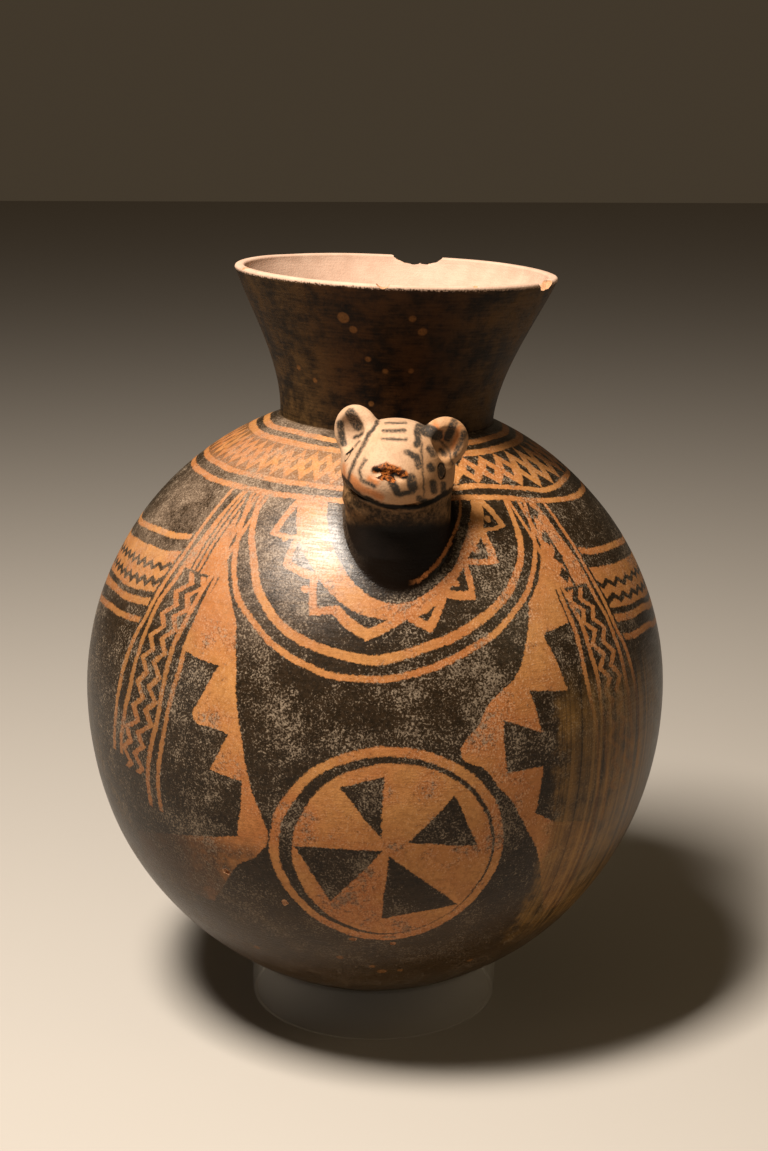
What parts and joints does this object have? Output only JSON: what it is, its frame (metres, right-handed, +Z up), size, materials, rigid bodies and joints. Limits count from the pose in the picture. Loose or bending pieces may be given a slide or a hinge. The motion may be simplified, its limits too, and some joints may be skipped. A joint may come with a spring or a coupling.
{
  "type": "pottery bottle",
  "caption": "Round-bodied fired clay bottle with a flaring neck and a modelled animal head on the shoulder, standing in a short clear ring.",
  "frame": {"origin": "centre of the whole piece's box, on the surface that the ring stands on", "axes": "+Z up; -Y is the front, where the animal head looks; the bottle leans a little towards +X"},
  "size_m": [0.2738, 0.274, 0.3581],
  "materials": {
    "clay": "burnished black and orange slip, worn",
    "clear_acrylic": "clear polished acrylic"
  },
  "bodies": {
    "root": {"bottle": "clay", "ring_stand": "clear_acrylic"}
  },
  "joints": []
}
